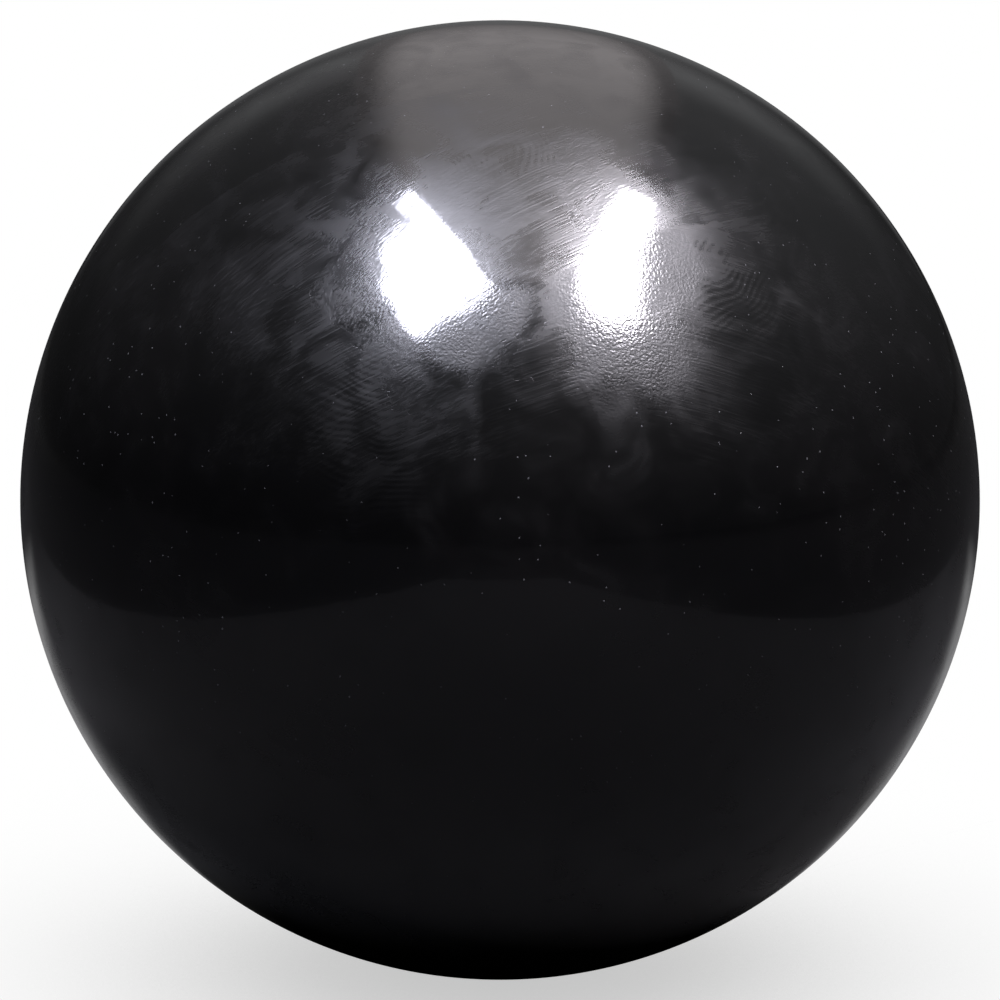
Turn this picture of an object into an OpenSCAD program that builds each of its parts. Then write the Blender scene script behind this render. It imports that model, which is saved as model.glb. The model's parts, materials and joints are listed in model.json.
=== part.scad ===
// Friction ball for opening and closing screwed watch case backs.
// A hollow, pneumatic rubber ball: a soft tacky skin over two cemented half shells, with a
// needle valve bonded into the rear half. The origin is the ball's centre, +Z is up, and the
// valve's axis is +Y. Lengths are in millimetres.

/* [Ball] */
// Outside diameter of the inflated ball
ball_d = 75; // [62:1:90]
// Thickness of the soft tacky skin
skin_t = 1.2; // [0.9:0.1:2]
// Thickness of the half shells' wall
wall_t = 4; // [3:0.1:6]

/* [Seam] */
// Thickness of the cured cement between the half shells
cement_t = 0.3; // [0.2:0.05:0.6]
// Radius of the bead of cement squeezed out inside the seam
bead_r = 0.9; // [0.5:0.1:1.5]

/* [Valve seat] */
// Diameter of the collar that fills the hole in the skin and the wall
collar_d = 10; // [9:0.5:13]
// Depth of the collar's face below the ball's outline
collar_recess = 0.9; // [0.5:0.1:1.2]
// Diameter of the flange bonded to the inside of the wall
flange_d = 26; // [18:1:34]
// Thickness of the flange
flange_t = 1.8; // [1:0.1:3]
// Length of the tail that reaches in past the flange
tail_l = 8; // [6:0.5:9]

/* [Valve core] */
// Diameter of the core's stem
core_d = 6; // [5:0.5:6.5]
// Diameter of the core's head
head_d = 7.6; // [7.2:0.1:8]
// Thickness of the core's head
head_t = 1.4; // [1:0.1:2]
// Clearance all round the core in its seat
core_gap = 0.05; // [0.02:0.01:0.1]
// Diameter of the inflating needle's guide hole
needle_d = 2; // [1.6:0.1:2.4]
// Length of the guide hole below its funnel
needle_l = 7; // [4:0.5:8]
// Width of the funnel's mouth
funnel_d = 3.8; // [3:0.1:4.4]
// Depth of the funnel
funnel_t = 1.5; // [1:0.1:2]
// Thickness of the core's flattened lips
lip_t = 1.6; // [1.2:0.1:2.4]
// Length of the flattened lips
lip_l = 6; // [4:0.5:7]
// Width of the slit that the needle parts
slit_w = 2.4; // [2:0.1:3]

/* [Hidden] */
$fn = 128;
over = 1;                                 // how far a cutter runs past what it cuts
ball_r = ball_d / 2;
shell_r = ball_r - skin_t;                // outside of the half shells, inside of the skin
air_r = shell_r - wall_t;                 // inside of the half shells
collar_r = collar_d / 2;
face_z = ball_r - collar_recess;          // the collar's outer face, measured from the centre
flange_in_r = air_r - flange_t;           // the flange's inner, dished face
tail_z = flange_in_r - tail_l;            // the tail's inner end
core_r = core_d / 2;
head_r = head_d / 2;
head_drop = 0.15;                         // the core's head lies this far below the collar's face
lip_chamfer = 0.5;                        // softens the skin's edge round the valve
tail_taper = 2;                           // length of the taper at the tail's inner end
tail_end_r = core_r + 0.9;                // radius that the taper comes down to
core_top_z = face_z - head_drop;
core_end_z = tail_z - 1.2;                // the lips reach a little way out of the tail
slit_t = 0.12;                            // gap between the closed lips
skin_color = [0.05, 0.05, 0.055];
shell_color = [0.13, 0.12, 0.12];
cement_color = [0.55, 0.40, 0.22];
seat_color = [0.09, 0.09, 0.09];
core_color = [0.20, 0.18, 0.17];

// Turns a shape drawn along +Z onto the valve's axis, +Y.
module along_valve() {
    rotate([-90, 0, 0]) children();
}

// A hollow ball between two radii.
module hollow_ball(outer_r, inner_r) {
    difference() {
        sphere(r = outer_r);
        sphere(r = inner_r);
    }
}

// A hole through everything on the valve's side, along +Z.
module valve_hole(r) {
    cylinder(r = r, h = ball_r + over);
}

// The half of space that lies beyond half a cement line in front, along +Z.
module far_half() {
    translate([-ball_r - over, -ball_r - over, cement_t / 2])
        cube([ball_d + 2 * over, ball_d + 2 * over, ball_r + over]);
}

// Soft tacky outer skin, one piece all round, opened only by the valve.
module grip_skin() {
    lip_r = collar_r + lip_chamfer;
    lip_z = sqrt(ball_r * ball_r - lip_r * lip_r);
    color(skin_color) along_valve() difference() {
        hollow_ball(ball_r, shell_r);
        valve_hole(collar_r);
        translate([0, 0, lip_z - lip_chamfer])
            cylinder(r1 = collar_r, r2 = lip_r + over, h = lip_chamfer + over);
    }
}

// Moulded rubber half shell, drawn as the half on the +Z side.
module half_shell() {
    intersection() {
        hollow_ball(shell_r, air_r);
        far_half();
    }
}

module front_half_shell() {
    color(shell_color) along_valve() mirror([0, 0, 1]) half_shell();
}

// The rear half is pierced for the valve's collar.
module rear_half_shell() {
    color(shell_color) along_valve() difference() {
        half_shell();
        valve_hole(collar_r);
    }
}

// Ring of cured cement between the halves, with the bead it leaves inside.
module seam_cement() {
    color(cement_color) along_valve() rotate_extrude() {
        difference() {
            translate([0, -cement_t / 2]) square([shell_r, cement_t]);
            circle(r = air_r);
        }
        intersection() {
            circle(r = air_r);
            translate([air_r, 0]) circle(r = bead_r);
        }
    }
}

// Rubber seat: a collar through the wall, a flange bonded inside it and a tail that reaches in.
module valve_seat() {
    color(seat_color) along_valve() difference() {
        union() {
            translate([0, 0, tail_z + tail_taper])
                cylinder(r = collar_r, h = face_z - tail_z - tail_taper);
            translate([0, 0, tail_z])
                cylinder(r1 = tail_end_r, r2 = collar_r, h = tail_taper);
            intersection() {
                hollow_ball(air_r, flange_in_r);
                valve_hole(flange_d / 2);
            }
        }
        translate([0, 0, tail_z - over]) cylinder(r = core_r, h = ball_r);
        translate([0, 0, core_top_z - head_t]) cylinder(r = head_r, h = head_t + over);
    }
}

// Self-sealing core: head, stem, needle guide, and flattened lips closed by a slit.
module valve_core() {
    guide_top_z = core_top_z - funnel_t;
    guide_end_z = guide_top_z - needle_l;
    flat_w = 2 * core_d;
    color(core_color) along_valve() difference() {
        union() {
            translate([0, 0, core_end_z])
                cylinder(r = core_r - core_gap, h = core_top_z - core_end_z);
            translate([0, 0, core_top_z - head_t + core_gap])
                cylinder(r = head_r - core_gap, h = head_t - core_gap);
        }
        translate([0, 0, guide_top_z])
            cylinder(r1 = needle_d / 2, r2 = funnel_d / 2, h = funnel_t);
        translate([0, 0, guide_end_z]) cylinder(r = needle_d / 2, h = needle_l);
        for (side = [0, 1]) mirror([0, side, 0])
            translate([-flat_w / 2, lip_t / 2, core_end_z - over])
                cube([flat_w, core_d, lip_l + over]);
        translate([-slit_w / 2, -slit_t / 2, core_end_z - over])
            cube([slit_w, slit_t, guide_end_z - core_end_z + 2 * over]);
    }
}

grip_skin();
front_half_shell();
rear_half_shell();
seam_cement();
valve_seat();
valve_core();
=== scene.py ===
"""Looks of the case opening friction ball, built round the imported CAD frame.

The ball's centre is the origin and the valve's axis is +Y. Shapes and places are given in
millimetres and turned into metres by MM, and the stage is given in metres.
"""
import json
import math

import bpy
from mathutils import Matrix, Vector, noise


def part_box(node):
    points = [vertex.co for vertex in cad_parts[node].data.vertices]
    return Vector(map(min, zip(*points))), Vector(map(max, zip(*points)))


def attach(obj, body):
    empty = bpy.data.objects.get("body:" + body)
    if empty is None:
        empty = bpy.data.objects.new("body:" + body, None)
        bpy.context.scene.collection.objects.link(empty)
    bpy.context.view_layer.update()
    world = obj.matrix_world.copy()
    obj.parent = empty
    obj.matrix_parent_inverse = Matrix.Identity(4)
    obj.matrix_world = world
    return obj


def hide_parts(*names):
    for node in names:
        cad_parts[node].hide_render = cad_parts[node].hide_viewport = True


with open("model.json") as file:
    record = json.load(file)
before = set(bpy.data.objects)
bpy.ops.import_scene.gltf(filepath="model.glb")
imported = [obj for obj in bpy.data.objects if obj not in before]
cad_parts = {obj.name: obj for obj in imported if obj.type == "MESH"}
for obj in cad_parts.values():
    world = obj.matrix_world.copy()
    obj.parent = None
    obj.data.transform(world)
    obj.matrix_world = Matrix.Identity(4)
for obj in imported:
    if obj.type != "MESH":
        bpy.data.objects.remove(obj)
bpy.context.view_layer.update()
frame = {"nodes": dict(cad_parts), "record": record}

MM = 0.001

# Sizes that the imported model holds.
BALL_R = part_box("grip_skin")[1].z / MM
SHELL_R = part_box("front_half_shell")[1].z / MM
FLANGE_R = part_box("valve_seat")[1].x / MM
FACE_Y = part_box("valve_seat")[1].y / MM
TAIL_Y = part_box("valve_seat")[0].y / MM
CORE_TOP_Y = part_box("valve_core")[1].y / MM
CORE_END_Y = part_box("valve_core")[0].y / MM
HEAD_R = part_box("valve_core")[1].x / MM
NEEDLE = next(m for m in frame["record"]["mounts"] if m["name"] == "needle_valve")
NEEDLE_R = NEEDLE["dims"]["r_mm"]

# Sizes that only the design names, in millimetres.
COLLAR_R = 5.0
WALL_T = 4.0
FLANGE_T = 1.8
TAIL_TAPER = 2.0
TAIL_END_R = 3.9
CORE_GAP = 0.05
STEM_R = 2.95
HEAD_T = 1.4
FUNNEL_R = 1.9
FUNNEL_T = 1.5
LIP_HALF_T = 0.8
LIP_L = 6.0
SHOULDER = 0.5  # how far above the lips the round stem starts to flatten
FLATTEN_L = 0.9  # and how long it takes
SLIT_HALF_W = 1.2
SLIT_HALF_T = 0.06
GUIDE_TOP_Y = CORE_TOP_Y - FUNNEL_T
GUIDE_END_Y = GUIDE_TOP_Y - NEEDLE["dims"]["length_mm"]


# ---------------------------------------------------------------- camera and view

CAMERA_DISTANCE = 0.29
CAMERA_ELEVATION = math.radians(9.2)
BALL_SHARE = 0.96  # share of the frame's width that the ball takes
SENSOR = 36.0


def make_camera():
    data = bpy.data.cameras.new("camera")
    data.sensor_width = SENSOR
    reach = math.tan(math.asin(BALL_R * MM / CAMERA_DISTANCE)) / BALL_SHARE
    data.lens = SENSOR / 2 / reach
    data.clip_start = 0.01
    data.clip_end = 50
    camera = bpy.data.objects.new("camera", data)
    back = Vector((0, -math.cos(CAMERA_ELEVATION), math.sin(CAMERA_ELEVATION)))
    camera.location = back * CAMERA_DISTANCE
    camera.rotation_mode = "QUATERNION"
    camera.rotation_quaternion = (-back).to_track_quat("-Z", "Y")
    bpy.context.scene.collection.objects.link(camera)
    bpy.context.scene.camera = camera


# ---------------------------------------------------------------- node helpers


class Nodes:
    """Short calls that add nodes to one tree. A value may be a number or another node's socket."""

    def __init__(self, tree):
        self.tree = tree

    def add(self, kind, inputs=None, **settings):
        node = self.tree.nodes.new(kind)
        for name, value in settings.items():
            setattr(node, name, value)
        for name, value in (inputs or {}).items():
            self.put(value, node.inputs[name])
        return node

    def put(self, value, socket):
        if isinstance(value, bpy.types.NodeSocket):
            self.tree.links.new(value, socket)
        else:
            socket.default_value = value

    def math(self, operation, *values):
        return self.add("ShaderNodeMath", dict(enumerate(values)), operation=operation).outputs[0]

    def vector(self, operation, *values):
        node = self.add("ShaderNodeVectorMath", dict(enumerate(values)), operation=operation)
        return node.outputs["Value" if operation in ("DOT_PRODUCT", "LENGTH", "DISTANCE") else "Vector"]

    def product(self, first, *others):
        for other in others:
            first = self.math("MULTIPLY", first, other)
        return first

    def total(self, first, *others):
        for other in others:
            first = self.math("ADD", first, other)
        return first

    def step(self, value, low, high, to_low=0.0, to_high=1.0):
        """Smooth step of value from to_low at low to to_high at high."""
        inputs = {"Value": value, "From Min": low, "From Max": high}
        inputs.update({"To Min": to_low, "To Max": to_high})
        node = self.add("ShaderNodeMapRange", inputs, interpolation_type="SMOOTHSTEP")
        return node.outputs["Result"]

    def noise(self, place, scale, detail=2.0, roughness=0.5, distortion=0.0):
        inputs = {"Vector": place, "Scale": scale, "Detail": detail}
        inputs.update({"Roughness": roughness, "Distortion": distortion})
        return self.add("ShaderNodeTexNoise", inputs)

    def split(self, place):
        """The three coordinates of a place."""
        parts = self.add("ShaderNodeSeparateXYZ", {"Vector": place})
        return tuple(parts.outputs[axis] for axis in "XYZ")

    def mix(self, factor, first, second):
        inputs = {"Factor": factor, "A": first, "B": second}
        return self.add("ShaderNodeMix", inputs, data_type="FLOAT").outputs["Result"]

    def mix_vector(self, factor, first, second):
        inputs = {0: factor, 4: first, 5: second}
        return self.add("ShaderNodeMix", inputs, data_type="VECTOR").outputs[1]

    def mix_colour(self, factor, first, second):
        inputs = {0: factor, 6: first, 7: second}
        return self.add("ShaderNodeMix", inputs, data_type="RGBA").outputs[2]

    def emission(self, colour, strength):
        inputs = {"Color": (*colour, 1), "Strength": strength}
        return self.add("ShaderNodeEmission", inputs).outputs[0]

    def for_camera(self, otherwise, seen):
        """A shader that the camera sees, and another for reflections and light."""
        path = self.add("ShaderNodeLightPath").outputs["Is Camera Ray"]
        return self.add("ShaderNodeMixShader", {0: path, 1: otherwise, 2: seen}).outputs[0]


def new_material(name):
    """A material, its nodes' helper, its shader and the place of a point in millimetres."""
    material = bpy.data.materials.new(name)
    material.use_nodes = True
    nodes = Nodes(material.node_tree)
    shader = material.node_tree.nodes["Principled BSDF"]
    place = nodes.add("ShaderNodeTexCoord").outputs["Object"]
    return material, nodes, shader, nodes.vector("MULTIPLY", place, (1 / MM,) * 3)


def set_bump(nodes, shader, height, distance, coat_share=1.0):
    """Bump from a height, where a height of 1 stands distance metres proud."""
    for socket, share in (("Normal", 1.0), ("Coat Normal", coat_share)):
        inputs = {"Strength": 1.0, "Distance": distance * share, "Height": height}
        bump = nodes.add("ShaderNodeBump", inputs)
        nodes.put(bump.outputs["Normal"], shader.inputs[socket])


# ---------------------------------------------------------------- materials

MICRON = 1e-6

# Marks on the skin. Each row gives the azimuth and elevation of its middle and the turn of its
# long axis from east towards up, in degrees, then its half length and half width in millimetres.
# A later mark lies over an earlier one.
# The places were set one by one, with a few landmarks that a program had converted as a guide.
WIPES = (
    # and last, how strong the wipe is
    (-60, -35, 15, 30, 24, 0.35),
    (55, -30, -25, 30, 24, 0.35),
    (-75, 35, 60, 26, 20, 0.8),
    (75, 25, -40, 28, 22, 0.5),
    (140, 10, 20, 30, 24, 0.8),
    (-140, 35, -15, 30, 22, 0.8),
    (180, 62, 70, 24, 20, 0.7),
    (-150, -35, 50, 28, 22, 0.6),
    (2, 66, 3, 20, 15, 0.5),
    (-22, 30, 40, 16, 13, 1.0),
    (-15, 22, 28, 13, 10, 1.3),
    (2, 25, 20, 9, 7, 0.8),
    (8, 44, 27, 18, 11, 0.85),
    (32, 47, 10, 11, 8, 0.6),
    (28, 25, -20, 12, 9, 0.65),
)
PRINTS = (
    # and last, the shift of the ridges' centre along the mark, in millimetres
    (-15, 15, 95, 8, 6, -9),
    (1, 50, 10, 6, 3, 7),
    (29, 33, -60, 7, 5, 8),
    (-70, 12, 20, 8, 6, 5),
    (78, -8, -50, 8, 6, 6),
    (150, 32, 10, 9, 6, 4),
    (-138, 4, 70, 8, 6, 6),
    (100, 50, 35, 8, 6, -6),
)
PEBBLES = (
    # azimuth, elevation and half width of patches where the grain stands out
    (15, 27, 7.8),
    (21, 34, 5.0),
    (0, 30, 3.4),
    (-5, 26, 3.2),
    (18, 24, 4.5),
)
SMEARS = (
    # and last, how much haze it adds
    (25, 39, 6, 5, 11, 0.25),
    (-12, 61, 20, 9, 9, 0.25),
    (-48, 42, 50, 9, 10, 0.25),
    (70, 40, -15, 8, 8, 0.25),
    (118, 28, -20, 8, 10, 0.30),
    (-120, 18, 15, 9, 9, 0.30),
)
RIDGE = 0.47  # from one finger ridge to the next
RIDGE_NOISE = (0.20, 1.0)
RIDGE_WANDER = 2.4
RIDGE_OVAL = 0.7
WIPE_STRETCH = 50  # how many times longer than wide a wipe's lines are
WIPE_BEND = 0.006  # how fast those lines curve, per millimetre
WIPE_FADE = 0.5  # how far out in a wipe it starts to fade, where 1 is its edge
WIPE_RAGGED = 0.9  # how uneven that edge is
PRINT_FADE = 0.45
PEBBLE_RAGGED = 3.0
PATCH_DEPTH = 2.5  # how deep a mark's patch is for its half length, so it stays on one side

# Noises on the skin: scale per millimetre, detail, roughness and distortion.
FILM_NOISE = (0.055, 3.0, 0.55, 0.6)
CLOUD_NOISE = (0.24, 2.0, 0.5, 0.8)
PRESS_NOISE = (0.40, 2.0)
LINE_NOISE = (7.0, 1.0, 0.6)
GRAIN_NOISE = (5.2, 1.0, 0.6)
PEEL_NOISE = (0.7, 2.0, 0.5)
DUST_CELL = 0.85  # millimetres from one speck of dust to the next
DUST_R = (0.040, 0.075)  # its radius in such cells, where hands haven't been and where they have

# How much haze each mark gives, where 1 is the dullest skin.
FILM_HAZE = 0.26
WIPE_HAZE = 0.24
STREAK_HAZE = 1.05
STREAK_DIP = -0.07  # the streaks' dark side is cut off here
PRINT_HAZE = 0.10
PEBBLE_HAZE = 0.62
GRAIN_HAZE = 0.35
CLOUD_HAZE = 1.3
CLOUD_COAT = 1.2

# Relief of each mark, in microns.
STREAK_RELIEF = 15.0
PRINT_RELIEF = 1.0
GRAIN_RELIEF = 12.0
PEEL_RELIEF = 8.0
DUST_RELIEF = 3.0
COAT_SHARE = 0.35  # share of the relief that the gloss on top follows

# The skin's gloss and colour, clean, hazy and on a speck of dust.
CLEAN_ROUGHNESS, HAZY_ROUGHNESS, DUST_ROUGHNESS = 0.16, 0.46, 0.9
CLEAN_COAT, HAZY_COAT, DUST_COAT = 1.0, 0.60, 0.2
CLEAN_TONE = (0.0008, 0.0008, 0.0009, 1)
FILM_TONE = (0.0014, 0.0013, 0.0014, 1)
DUST_TONE = (0.035, 0.035, 0.037, 1)


def facing(azimuth, elevation):
    """Outward direction, where azimuth 0 is -Y and 90 is +X."""
    a, e = math.radians(azimuth), math.radians(elevation)
    return Vector((math.sin(a) * math.cos(e), -math.cos(a) * math.cos(e), math.sin(e)))


def on_patch(nodes, place, azimuth, elevation, turn, half_l, half_w):
    """Place along, across and above a patch, and how far out in it that is, 1 at its edge."""
    out = facing(azimuth, elevation)
    east = Vector((0, 0, 1)).cross(out).normalized()
    north = out.cross(east)
    t = math.radians(turn)
    along = east * math.cos(t) + north * math.sin(t)
    across = out.cross(along)
    rows = Matrix((along, across, out))
    inputs = {"Vector": place, "Rotation": rows.to_euler()}
    inputs["Location"] = rows @ (out * -BALL_R)
    local = nodes.add("ShaderNodeMapping", inputs).outputs["Vector"]
    share = nodes.vector("MULTIPLY", local, (1 / half_l, 1 / half_w, 1 / (PATCH_DEPTH * half_l)))
    return local, nodes.vector("LENGTH", share)


def enter(nodes, place, spot, patch, ragged=0.0):
    """Place inside the patch, in its own frame, or else spot, then how far out, and if inside."""
    local, edge = on_patch(nodes, place, *patch)
    edge = nodes.math("ADD", edge, ragged)
    inside = nodes.math("LESS_THAN", edge, 1.0)
    return nodes.mix_vector(inside, spot, local), edge, inside


def wipe_marks(nodes, place, ragged):
    """Fine lines drawn out along each wipe, from -0.5 to 0.5, and how strong they are."""
    spot, strength = place, 0.0
    for *patch, value in WIPES:
        spot, edge, _ = enter(nodes, place, spot, patch, ragged)
        strength = nodes.mix(nodes.step(edge, 1.0, WIPE_FADE), strength, value)
    along, across, above = nodes.split(spot)
    bent = nodes.math("ADD", across, nodes.product(along, along, WIPE_BEND))
    drawn = nodes.math("DIVIDE", along, WIPE_STRETCH)
    thread = nodes.add("ShaderNodeCombineXYZ", {"X": drawn, "Y": bent, "Z": above})
    lines = nodes.noise(thread.outputs[0], *LINE_NOISE).outputs["Fac"]
    return nodes.math("SUBTRACT", lines, 0.5), strength


def print_marks(nodes, place, pressed):
    """Finger ridges, from -1 to 1, and how strong they are."""
    spot, strength, shift = place, 0.0, 0.0
    for *patch, centre in PRINTS:
        spot, edge, inside = enter(nodes, place, spot, patch)
        strength = nodes.mix(nodes.step(edge, 1.0, PRINT_FADE), strength, 1.0)
        shift = nodes.mix(inside, shift, float(centre))
    slow = nodes.noise(spot, *RIDGE_NOISE).outputs["Color"]
    wander = nodes.vector("MULTIPLY", slow, (RIDGE_WANDER, RIDGE_WANDER, 0.0))
    bent = nodes.vector("ADD", spot, wander)
    x, y, _ = nodes.split(bent)
    x = nodes.math("ADD", x, shift)
    ring = nodes.math("SQRT", nodes.total(nodes.product(x, x), nodes.product(y, y, RIDGE_OVAL)))
    ridges = nodes.math("SINE", nodes.math("MULTIPLY", ring, math.tau / RIDGE))
    return ridges, nodes.product(strength, pressed)


def smear_marks(nodes, place, unevenness):
    """Haze of the smears: each is cut off sharply along its long axis and fades below it."""
    haze = 0.0
    for *patch, value in SMEARS:
        local, edge = on_patch(nodes, place, *patch)
        north = nodes.total(nodes.split(local)[1], unevenness)
        body = nodes.product(nodes.step(north, 0.15, -0.15), nodes.step(edge, 1.0, 0.3), value)
        line = nodes.product(nodes.step(north, 0.3, 0.0), nodes.step(north, -0.6, 0.0))
        line = nodes.product(line, nodes.step(edge, 1.0, 0.6), value * 0.7)
        haze = nodes.total(haze, body, line)
    return haze


def pebble_mask(nodes, place, wobble):
    """Where the rubber's pebbled grain stands out."""
    mask = 0.0
    for azimuth, elevation, half in PEBBLES:
        away = nodes.vector("DISTANCE", place, tuple(facing(azimuth, elevation) * BALL_R))
        ragged = nodes.math("ADD", away, wobble)
        mask = nodes.math("MAXIMUM", mask, nodes.step(ragged, half, 0.0))
    return mask


def skin_material():
    """Soft black rubber with a wet-looking gloss, smudged, wiped, fingerprinted and dusty."""
    material, nodes, shader, place = new_material("tacky_skin")

    # A thin film where hands have been, and clouds of haze in it.
    film_noise = nodes.noise(place, *FILM_NOISE).outputs["Fac"]
    film = nodes.step(film_noise, 0.34, 0.66)
    cloud_noise = nodes.noise(place, *CLOUD_NOISE).outputs["Fac"]
    cloud = nodes.math("SUBTRACT", cloud_noise, 0.5)

    # Marks, all uneven in the same places, because the fingers pressed harder there.
    press_noise = nodes.noise(place, *PRESS_NOISE).outputs["Fac"]
    pressed = nodes.step(press_noise, 0.38, 0.60)
    unevenness = nodes.math("SUBTRACT", press_noise, 0.5)
    smeared = smear_marks(nodes, place, unevenness)
    lines, wiped = wipe_marks(nodes, place, nodes.product(unevenness, WIPE_RAGGED))
    drawn = nodes.product(nodes.math("ADD", wiped, 0.1), nodes.step(film_noise, 0.3, 0.6, 0.4, 1.0))
    streaks = nodes.product(lines, drawn)
    ridges, printed = print_marks(nodes, place, pressed)
    prints = nodes.product(ridges, printed)

    # Pebbled grain in patches, and fine orange peel all over.
    grain_noise = nodes.noise(place, *GRAIN_NOISE).outputs["Fac"]
    grain = nodes.step(grain_noise, 0.30, 0.70)
    pebbled = pebble_mask(nodes, place, nodes.product(unevenness, PEBBLE_RAGGED))
    peel = nodes.noise(place, *PEEL_NOISE).outputs["Fac"]

    # Dust: points scattered through space, seen where they meet the surface.
    cells = nodes.add("ShaderNodeTexVoronoi", {"Vector": place, "Scale": 1 / DUST_CELL})
    speck_r = nodes.step(film_noise, 0.35, 0.65, *DUST_R)
    dust = nodes.math("LESS_THAN", cells.outputs["Distance"], speck_r)

    haze = nodes.total(
        nodes.product(film, FILM_HAZE),
        nodes.product(wiped, WIPE_HAZE),
        nodes.product(nodes.math("MAXIMUM", streaks, STREAK_DIP), STREAK_HAZE),
        nodes.product(prints, PRINT_HAZE),
        nodes.product(pebbled, PEBBLE_HAZE),
        nodes.product(nodes.math("SUBTRACT", grain, 0.5), pebbled, GRAIN_HAZE),
        nodes.product(cloud, CLOUD_HAZE),
        smeared,
    )
    haze = nodes.math("MINIMUM", nodes.math("MAXIMUM", haze, 0.0), 1.0)
    roughness = nodes.mix(haze, CLEAN_ROUGHNESS, HAZY_ROUGHNESS)
    nodes.put(nodes.mix(dust, roughness, DUST_ROUGHNESS), shader.inputs["Roughness"])

    tone = nodes.mix_colour(film, CLEAN_TONE, FILM_TONE)
    nodes.put(nodes.mix_colour(dust, tone, DUST_TONE), shader.inputs["Base Color"])

    coat = nodes.mix(nodes.total(haze, nodes.product(cloud, CLOUD_COAT)), CLEAN_COAT, HAZY_COAT)
    nodes.put(nodes.mix(dust, coat, DUST_COAT), shader.inputs["Coat Weight"])
    shader.inputs["Coat Roughness"].default_value = 0.05
    shader.inputs["IOR"].default_value = 1.5
    shader.inputs["Specular IOR Level"].default_value = 0.48

    height = nodes.total(
        nodes.product(streaks, STREAK_RELIEF),
        nodes.product(prints, PRINT_RELIEF),
        nodes.product(grain, pebbled, GRAIN_RELIEF),
        nodes.product(peel, PEEL_RELIEF),
        nodes.product(dust, DUST_RELIEF),
    )
    set_bump(nodes, shader, height, MICRON, COAT_SHARE)
    return material


def plain_rubber(name, dark, light, roughness, grain, depth, coat=0.0):
    """Matt or satin moulded rubber: blotchy tone and a fine cast grain."""
    material, nodes, shader, place = new_material(name)
    blotch = nodes.noise(place, 0.35, 4.0, 0.6).outputs["Fac"]
    speck = nodes.noise(place, grain, 3.0, 0.6).outputs["Fac"]
    tone = nodes.mix_colour(nodes.step(blotch, 0.3, 0.7), (*dark, 1), (*light, 1))
    nodes.put(tone, shader.inputs["Base Color"])
    rough = nodes.total(nodes.product(nodes.math("SUBTRACT", blotch, 0.5), 0.25), roughness)
    nodes.put(nodes.total(rough, nodes.product(speck, 0.08)), shader.inputs["Roughness"])
    shader.inputs["Coat Weight"].default_value = coat
    shader.inputs["Coat Roughness"].default_value = 0.25
    set_bump(nodes, shader, nodes.total(speck, nodes.product(blotch, 2.0)), depth * MICRON)
    return material


# ---------------------------------------------------------------- meshes


def add_piece(name, vertices, faces, material, body, node):
    """A mesh piece in metres that rides on body and stands for a CAD node."""
    mesh = bpy.data.meshes.new(name)
    mesh.from_pydata([Vector(v) * MM for v in vertices], [], faces)
    mesh.validate()
    mesh.shade_smooth()
    mesh.materials.append(material)
    piece = bpy.data.objects.new(name, mesh)
    bpy.context.scene.collection.objects.link(piece)
    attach(piece, body)
    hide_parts(node)


def arc(centre, radius, start, end, steps):
    """Points (radius from the axis, y) on an arc, with angles in degrees from outward to +Y."""
    points = []
    for i in range(steps + 1):
        a = math.radians(start + (end - start) * i / steps)
        points.append((centre[0] + radius * math.cos(a), centre[1] + radius * math.sin(a)))
    return points


# The skin: a sphere of near-square quads, open round the valve, with an inner face.

GRID = 80  # quads along each edge of the cube that the sphere's grid comes from
APRON = 40  # rings of quads between the cube's last face and the valve's hole
LIP_FILLET = 0.55
CUBE_SIDES = (
    # outward, right and up of the five whole faces
    ((0, -1, 0), (1, 0, 0), (0, 0, 1)),
    ((1, 0, 0), (0, 1, 0), (0, 0, 1)),
    ((-1, 0, 0), (0, -1, 0), (0, 0, 1)),
    ((0, 0, 1), (1, 0, 0), (0, 1, 0)),
    ((0, 0, -1), (1, 0, 0), (0, -1, 0)),
)


def on_cube_side(side, i, j):
    """Direction of grid point i, j on a cube's side, in equal angles."""
    outward, right, up = (Vector(v) for v in side)
    a = (i / GRID - 0.5) * math.pi / 2
    b = (j / GRID - 0.5) * math.pi / 2
    return (outward + math.tan(a) * right + math.tan(b) * up).normalized()


def valve_side_rim():
    """Directions round the edge of the cube's +Y side, in order."""
    side = ((0, 1, 0), (1, 0, 0), (0, 0, 1))
    rim = [(i, 0) for i in range(GRID)] + [(GRID, j) for j in range(GRID)]
    rim += [(GRID - i, GRID) for i in range(GRID)] + [(0, GRID - j) for j in range(GRID)]
    return [on_cube_side(side, i, j) for i, j in rim]


class Builder:
    """Collects vertices, welded by place, and quads."""

    def __init__(self):
        self.vertices = []
        self.faces = []
        self.known = {}

    def vertex(self, place):
        key = tuple(round(c, 4) for c in place)
        if key not in self.known:
            self.known[key] = len(self.vertices)
            self.vertices.append(place)
        return self.known[key]

    def face(self, places, flip):
        corners = [self.vertex(p) for p in places]
        self.faces.append(corners[::-1] if flip else corners)


def ripple(direction):
    """How far below the true sphere the skin lies, from slow waves in the cast rubber."""
    slow = noise.noise(direction * 4.5)
    quick = noise.noise(direction * 11.0 + Vector((9, 4, 7)))
    return 0.006 * (1 + slow) + 0.0022 * (1 + quick)


def turned(radius, y, azimuth):
    return Vector((radius * math.sin(azimuth), y, radius * math.cos(azimuth)))


def apron_rings(rim, radius_of, hole_angle):
    """Rings of points from the rim of the valve's side to a circle hole_angle off the axis."""
    rings = []
    for step in range(APRON + 1):
        ring = []
        for direction in rim:
            azimuth = math.atan2(direction.x, direction.z)
            start = math.acos(direction.y)
            angle = start + (hole_angle - start) * step / APRON
            place = turned(math.sin(angle), math.cos(angle), azimuth)
            ring.append(place * radius_of(place))
        rings.append(ring)
    return rings


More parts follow.
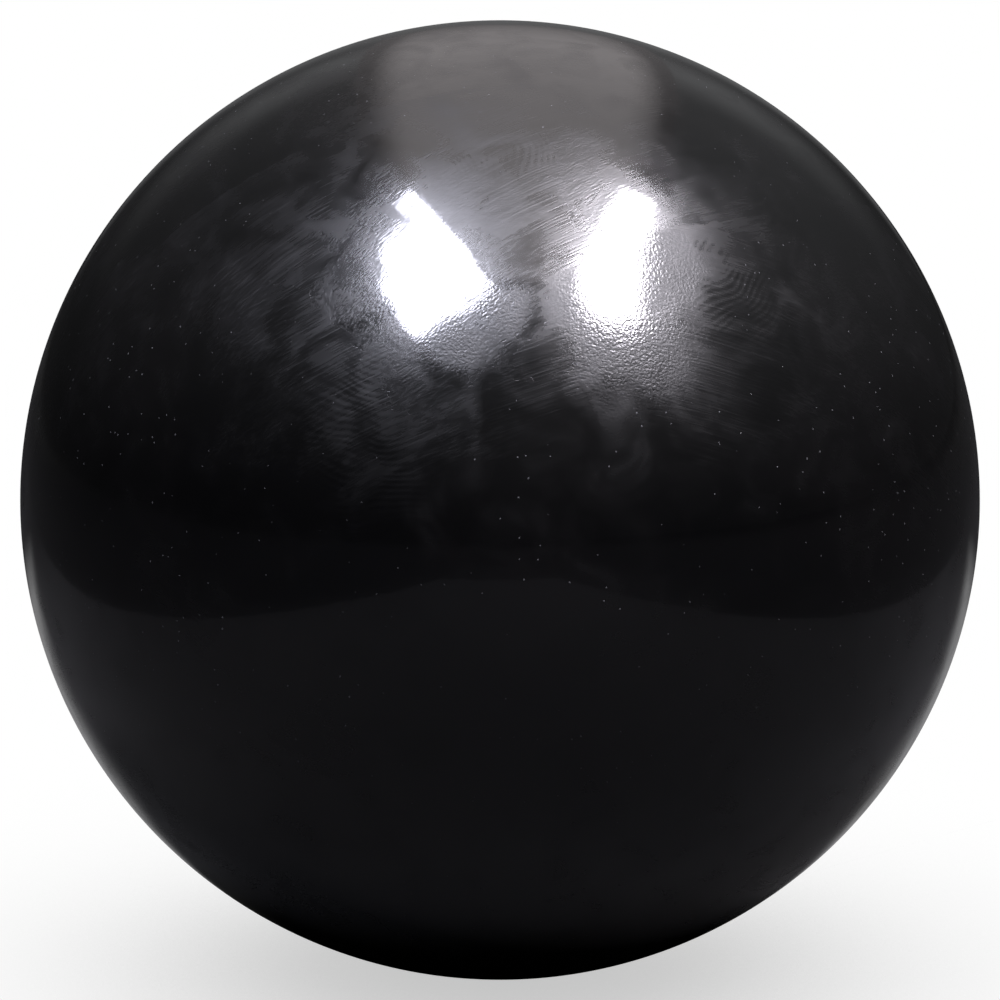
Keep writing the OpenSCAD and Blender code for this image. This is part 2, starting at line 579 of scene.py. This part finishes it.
def make_skin(material):
    build = Builder()
    rim = valve_side_rim()
    azimuths = [math.atan2(d.x, d.z) for d in rim]

    def outer(direction):
        return BALL_R - ripple(direction)

    def inner(direction):
        return SHELL_R

    for radius_of, flip in ((outer, False), (inner, True)):
        for side in CUBE_SIDES:
            grid = [[on_cube_side(side, i, j) for i in range(GRID + 1)] for j in range(GRID + 1)]
            grid = [[d * radius_of(d) for d in row] for row in grid]
            for j in range(GRID):
                for i in range(GRID):
                    corners = (grid[j][i], grid[j][i + 1], grid[j + 1][i + 1], grid[j + 1][i])
                    build.face(corners, flip)

    fillet_ring_r = COLLAR_R + LIP_FILLET
    fillet_y = math.sqrt((BALL_R - LIP_FILLET) ** 2 - fillet_ring_r**2)
    hole_angle = math.asin(fillet_ring_r / (BALL_R - LIP_FILLET))
    profile = arc((fillet_ring_r, fillet_y), LIP_FILLET, 90 - math.degrees(hole_angle), 180, 10)
    inner_y = math.sqrt(SHELL_R**2 - COLLAR_R**2)
    profile.append((COLLAR_R, inner_y))
    rings = apron_rings(rim, outer, hole_angle)
    rings += [[turned(r, y, a) for a in azimuths] for r, y in profile[1:]]
    back = apron_rings(rim, inner, math.asin(COLLAR_R / SHELL_R))
    rings += back[::-1][1:]
    for first, second in zip(rings, rings[1:]):
        for k in range(len(rim)):
            k2 = (k + 1) % len(rim)
            build.face((first[k], first[k2], second[k2], second[k]), True)
    add_piece("tacky_skin", build.vertices, build.faces, material, "ball", "grip_skin")


# Turned pieces: rings of points on the valve's axis, joined into one closed skin.

SEGMENTS = 96


def closed_loft(rings):
    """Vertices and quads of a closed skin. A ring is (radius, half thickness or None, y)."""
    vertices, faces = [], []
    for radius, half, y in rings:
        for k in range(SEGMENTS):
            a = math.tau * k / SEGMENTS
            z = radius * math.cos(a)
            if half is not None:
                z = max(-half, min(half, z))
            vertices.append(Vector((radius * math.sin(a), y, z)))
    count = len(rings)
    for r in range(count):
        for k in range(SEGMENTS):
            k2 = (k + 1) % SEGMENTS
            r2 = (r + 1) % count
            ring = (r * SEGMENTS + k, r * SEGMENTS + k2, r2 * SEGMENTS + k2, r2 * SEGMENTS + k)
            faces.append(ring)
    return vertices, faces


def rounded(points, steps=4):
    """Profile of (radius, y, fillet) corners turned into (radius, y) points with round corners."""
    out = []
    count = len(points)
    for i, (r, y, fillet) in enumerate(points):
        here = Vector((r, y))
        if fillet == 0:
            out.append((r, y))
            continue
        before = Vector(points[i - 1][:2]) - here
        after = Vector(points[(i + 1) % count][:2]) - here
        before.normalize()
        after.normalize()
        half = before.angle(after) / 2
        reach = fillet / math.tan(half)
        start, end = here + before * reach, here + after * reach
        centre = here + (before + after).normalized() * (fillet / math.sin(half))
        for s in range(steps + 1):
            spoke = (start - centre).lerp(end - centre, s / steps).normalized() * fillet
            out.append(tuple(centre + spoke))
    return out


def make_valve_seat(material):
    """Collar, bonded flange and tapered tail, with a stepped bore for the core."""
    air_r = SHELL_R - WALL_T
    dish_r = air_r - FLANGE_T
    bore_r = STEM_R + CORE_GAP
    counter_r = HEAD_R + CORE_GAP
    step_y = CORE_TOP_Y - HEAD_T

    def dish(radius, r):
        return math.sqrt(radius**2 - r**2)

    corners = [
        (counter_r, FACE_Y, 0.12),
        (COLLAR_R, FACE_Y, 0.2),
        (COLLAR_R, dish(air_r, COLLAR_R), 0),
    ]
    steps = 8
    for s in range(1, steps):
        r = COLLAR_R + (FLANGE_R - COLLAR_R) * s / steps
        corners.append((r, dish(air_r, r), 0))
    corners.append((FLANGE_R, dish(air_r, FLANGE_R), 0.3))
    corners.append((FLANGE_R, dish(dish_r, FLANGE_R), 0.3))
    for s in range(steps - 1, 0, -1):
        r = COLLAR_R + (FLANGE_R - COLLAR_R) * s / steps
        corners.append((r, dish(dish_r, r), 0))
    corners += [
        (COLLAR_R, dish(dish_r, COLLAR_R), 0.3),
        (COLLAR_R, TAIL_Y + TAIL_TAPER, 0.5),
        (TAIL_END_R, TAIL_Y, 0.25),
        (bore_r, TAIL_Y, 0.15),
        (bore_r, step_y, 0.1),
        (counter_r, step_y, 0.1),
    ]
    rings = [(r, None, y) for r, y in rounded(corners)]
    vertices, faces = closed_loft(rings)
    add_piece("valve_seat_rubber", vertices, faces, material, "ball", "valve_seat")


def make_valve_core(material):
    """Head, stem, flat lips with their slit, and the needle's guide up to its funnel."""
    head_y = CORE_TOP_Y - HEAD_T + CORE_GAP
    shoulder_y = CORE_END_Y + LIP_L + SHOULDER
    outside = [
        (FUNNEL_R, CORE_TOP_Y, 0.2),
        (HEAD_R, CORE_TOP_Y, 0.3),
        (HEAD_R, head_y, 0.15),
        (STEM_R, head_y, 0.12),
        (STEM_R, shoulder_y, 0),
    ]
    guide = [(NEEDLE_R, GUIDE_END_Y, 0.0), (NEEDLE_R, GUIDE_TOP_Y, 0.15)]
    path = rounded(outside + guide)
    turning = [(r, None, y) for r, y in path]
    split = next(i for i, (r, half, y) in enumerate(turning) if y == shoulder_y)
    bend = 6
    rings = turning[: split + 1]
    for s in range(1, bend + 1):
        t = s / bend
        ease = t * t * (3 - 2 * t)
        rings.append((STEM_R, STEM_R + (LIP_HALF_T - STEM_R) * ease, shoulder_y - FLATTEN_L * t))
    end_fillet = 0.25
    for s in range(bend + 1):
        a = math.pi / 2 * s / bend
        cut = end_fillet * (1 - math.cos(a))
        y = CORE_END_Y + end_fillet * (1 - math.sin(a))
        rings.append((STEM_R - cut, LIP_HALF_T - cut, y))
    rings.append((SLIT_HALF_W, SLIT_HALF_T, CORE_END_Y))
    rings.append((SLIT_HALF_W, SLIT_HALF_T, CORE_END_Y + 0.4))
    rings.append((SLIT_HALF_W, SLIT_HALF_T, GUIDE_END_Y - 0.1))
    rings += turning[split + 1 :]
    vertices, faces = closed_loft(rings)
    add_piece("needle_valve_core", vertices, faces, material, "valve_core", "valve_core")


# ---------------------------------------------------------------- stage

LAMP_H = 1.0  # height of the lamps and the ceiling sheet above the ball's centre, in metres
CEILING_X = (-0.41, 0.52)
CEILING_Y = (-0.60, 4.0)
# The lamps' outlines, in metres at LAMP_H. These points weren't drawn by hand: another program
# worked them out from places picked on the photo's highlights.
LEFT_LAMP = (
    (-0.28, -0.04), (-0.35, -0.11), (-0.30, -0.21), (-0.42, -0.27), (-0.47, -0.38),
    (-0.455, -0.42), (-0.515, -0.54), (-0.48, -0.68), (-0.485, -0.78), (-0.445, -0.93),
    (-0.35, -0.87), (-0.27, -0.80), (-0.14, -0.75), (-0.03, -0.63),
)
RIGHT_LAMP = (
    (0.39, 0.01), (0.455, 0.02), (0.52, 0.015), (0.535, -0.115), (0.54, -0.24),
    (0.605, -0.50), (0.67, -0.655), (0.725, -0.655), (0.625, -0.78), (0.485, -0.78),
    (0.385, -0.68), (0.325, -0.60), (0.315, -0.435), (0.345, -0.27), (0.36, -0.135),
)
COOL_LIGHT = 40.0
WARM_LIGHT = 72.0
SHEET_LIGHT = 1.2
SHEET_HALF = 1.3  # the sheet's light halves each time it goes this far along +Y
SIDE_FADE = 0.16  # width over which it dies away towards its sides
SHEET_EDGE = 0.13  # its light there, about that of the room behind it
FILL_LIGHT = 12.0
FILL_H = 0.8
FILL = ((-0.4, 0.7), (0.4, 0.7), (0.4, 1.5), (-0.4, 1.5))  # lights the valve's side, no reflection
CARD = 0.130  # half width, beside the ball, of the dark card that the ball stands on
CARD_FLARE = 0.25  # how fast the card widens along +Y
CARD_FRONT = -0.28
CARD_TONE = 0.0170
CARD_BACK_SHADE_TONE = 0.007  # behind the ball, darker: painted shade of the ball's shadow
FLOOR_TONE = 0.006  # round the card
GLOW_HALF = 0.030  # half width, beside the ball, of the painted pool of light on the floor behind the ball
GLOW_FLARE = 0.64
GLOW_LIGHT = 0.20
FAR_LIGHT = 0.008  # painted light on the floor far from the ball
FLOOR_HALF = 12.0
SHADE_REACH = 0.06  # how near the ball the floor that the camera sees grows darker
SHADE_DEPTH = 0.55  # its light at the darkest


def grey(value):
    return (value, value, value, 1)


def flat_panel(name, outline, height, material):
    """A level panel over an outline in metres, facing down, which the camera doesn't see."""
    mesh = bpy.data.meshes.new(name)
    mesh.from_pydata([(x, y, height) for x, y in outline], [], [tuple(range(len(outline)))])
    mesh.materials.append(material)
    panel = bpy.data.objects.new(name, mesh)
    panel.visible_camera = False
    bpy.context.scene.collection.objects.link(panel)
    return panel


def glow_material(name, colour, strength, fades=False):
    """Plain light, which may fade along +Y and towards the sides as the ceiling sheet's does."""
    material = bpy.data.materials.new(name)
    material.use_nodes = True
    nodes = Nodes(material.node_tree)
    material.node_tree.nodes.clear()
    if fades:
        x, y, _ = nodes.split(nodes.add("ShaderNodeTexCoord").outputs["Object"])
        halvings = nodes.math("DIVIDE", nodes.math("MAXIMUM", y, 0.0), SHEET_HALF)
        strength = nodes.product(nodes.math("POWER", 0.5, halvings), strength)
        left = nodes.step(x, CEILING_X[0], CEILING_X[0] + SIDE_FADE)
        right = nodes.step(x, CEILING_X[1], CEILING_X[1] - SIDE_FADE)
        strength = nodes.math("MAXIMUM", nodes.product(left, right, strength), SHEET_EDGE)
    out = nodes.add("ShaderNodeOutputMaterial")
    nodes.put(nodes.emission(colour, strength), out.inputs["Surface"])
    return material


def floor_material():
    """To the camera, a pale floor with a painted soft shadow. In reflections, a dark card and dim
    floor, with painted shade and a painted pool of light behind the ball.
    """
    material = bpy.data.materials.new("pale_floor")
    material.use_nodes = True
    nodes = Nodes(material.node_tree)
    material.node_tree.nodes.clear()
    shade = nodes.add("ShaderNodeAmbientOcclusion", {"Distance": SHADE_REACH}, samples=8)
    seen = nodes.emission((1, 1, 1), nodes.step(shade.outputs["AO"], 0.0, 0.9, SHADE_DEPTH, 1.0))
    place = nodes.add("ShaderNodeTexCoord").outputs["Object"]
    x, y, _ = nodes.split(place)
    x = nodes.math("ABSOLUTE", x)

    card = nodes.total(nodes.product(y, CARD_FLARE), CARD)
    on_card = nodes.product(nodes.math("LESS_THAN", x, card), nodes.math("GREATER_THAN", y, CARD_FRONT))
    # The card is darker behind the ball: painted shade where the ball's shadow falls.
    card_tone_and_shade = nodes.mix_colour(nodes.step(y, 0.02, 0.16), grey(CARD_TONE), grey(CARD_BACK_SHADE_TONE))
    tone = nodes.mix_colour(on_card, grey(FLOOR_TONE), card_tone_and_shade)
    diffuse = nodes.add("ShaderNodeBsdfDiffuse", {"Color": tone}).outputs[0]

    # Painted light: a pool of light on the floor behind the ball and a faint light far out, as emission
    # that reflections see.
    inside = nodes.math("SUBTRACT", nodes.total(nodes.product(y, GLOW_FLARE), GLOW_HALF), x)
    reach = nodes.product(nodes.step(y, 0.008, 0.026), nodes.step(y, 0.18, 0.11))
    glow = nodes.product(nodes.step(inside, -0.014, 0.012, 0.0, GLOW_LIGHT), reach)
    far = nodes.step(nodes.vector("LENGTH", place), 0.35, 1.2, 0.0, FAR_LIGHT)
    painted_floor_light = nodes.emission((1, 1, 1), nodes.math("ADD", glow, far))
    lit = nodes.add("ShaderNodeAddShader", {0: diffuse, 1: painted_floor_light}).outputs[0]
    out = nodes.add("ShaderNodeOutputMaterial")
    nodes.put(nodes.for_camera(lit, seen), out.inputs["Surface"])
    return material


def make_floor():
    mesh = bpy.data.meshes.new("floor")
    corners = [(x * FLOOR_HALF, y * FLOOR_HALF, 0) for x, y in ((-1, -1), (1, -1), (1, 1), (-1, 1))]
    mesh.from_pydata(corners, [], [(0, 1, 2, 3)])
    mesh.materials.append(floor_material())
    floor = bpy.data.objects.new("floor", mesh)
    floor.location.z = -BALL_R * MM
    bpy.context.scene.collection.objects.link(floor)


def make_world():
    """White to the camera. In reflections, a dim room with a lighter ceiling and far wall."""
    world = bpy.data.worlds.new("room")
    world.use_nodes = True
    bpy.context.scene.world = world
    nodes = Nodes(world.node_tree)
    world.node_tree.nodes.clear()
    x, y, z = nodes.split(nodes.add("ShaderNodeTexCoord").outputs["Generated"])
    above = nodes.product(nodes.step(z, 0.0, 1.0, 0.012, 0.12), nodes.step(x, -1.0, 1.0, 0.7, 1.5))
    back_wall = nodes.product(nodes.step(y, 0.70, 0.92, 0.0, 0.17), nodes.step(z, 0.15, 0.55))
    low_wall = nodes.step(y, 0.94, 0.995, 0.0, 0.11)
    strength = nodes.total(above, back_wall, low_wall)
    room = nodes.add("ShaderNodeBackground", {"Color": (0.97, 0.98, 1.0, 1), "Strength": strength})
    white = nodes.add("ShaderNodeBackground", {"Color": (1, 1, 1, 1), "Strength": 1.0})
    out = nodes.add("ShaderNodeOutputWorld")
    nodes.put(nodes.for_camera(room.outputs[0], white.outputs[0]), out.inputs["Surface"])


def make_stage():
    make_floor()
    make_world()
    x0, x1 = CEILING_X
    y0, y1 = CEILING_Y
    sheet = glow_material("ceiling_sheet", (1.0, 0.94, 0.95), SHEET_LIGHT, fades=True)
    flat_panel("ceiling_sheet", ((x0, y0), (x1, y0), (x1, y1), (x0, y1)), LAMP_H + 0.02, sheet)
    cool = glow_material("cool_lamp", (0.84, 0.85, 1.0), COOL_LIGHT)
    warm = glow_material("warm_lamp", (0.95, 0.91, 1.0), WARM_LIGHT)
    flat_panel("lamp_left", LEFT_LAMP, LAMP_H, cool)
    flat_panel("lamp_right", RIGHT_LAMP, LAMP_H, warm)
    fill = flat_panel("back_fill", FILL, FILL_H, glow_material("fill", (1, 1, 1), FILL_LIGHT))
    fill.visible_glossy = False
    view = bpy.context.scene.view_settings
    view.view_transform = "Standard"
    view.look = "None"


# ---------------------------------------------------------------- the object

make_camera()
make_stage()

make_skin(skin_material())
valve_rubber = plain_rubber(
    "valve_rubber", (0.024, 0.024, 0.025), (0.040, 0.039, 0.038), 0.42, grain=5.0, depth=6, coat=0.15
)
core_rubber = plain_rubber(
    "core_rubber", (0.075, 0.068, 0.062), (0.11, 0.10, 0.092), 0.34, grain=7.0, depth=3, coat=0.4
)
carcass = plain_rubber(
    "carcass_rubber", (0.020, 0.019, 0.018), (0.045, 0.042, 0.040), 0.70, grain=2.2, depth=12
)
cement = plain_rubber(
    "rubber_cement", (0.26, 0.14, 0.04), (0.44, 0.28, 0.11), 0.35, grain=1.5, depth=20, coat=0.4
)
make_valve_seat(valve_rubber)
make_valve_core(core_rubber)
for name, material in (
    ("front_half_shell", carcass),
    ("rear_half_shell", carcass),
    ("seam_cement", cement),
):
    frame["nodes"][name].data.materials.clear()
    frame["nodes"][name].data.materials.append(material)
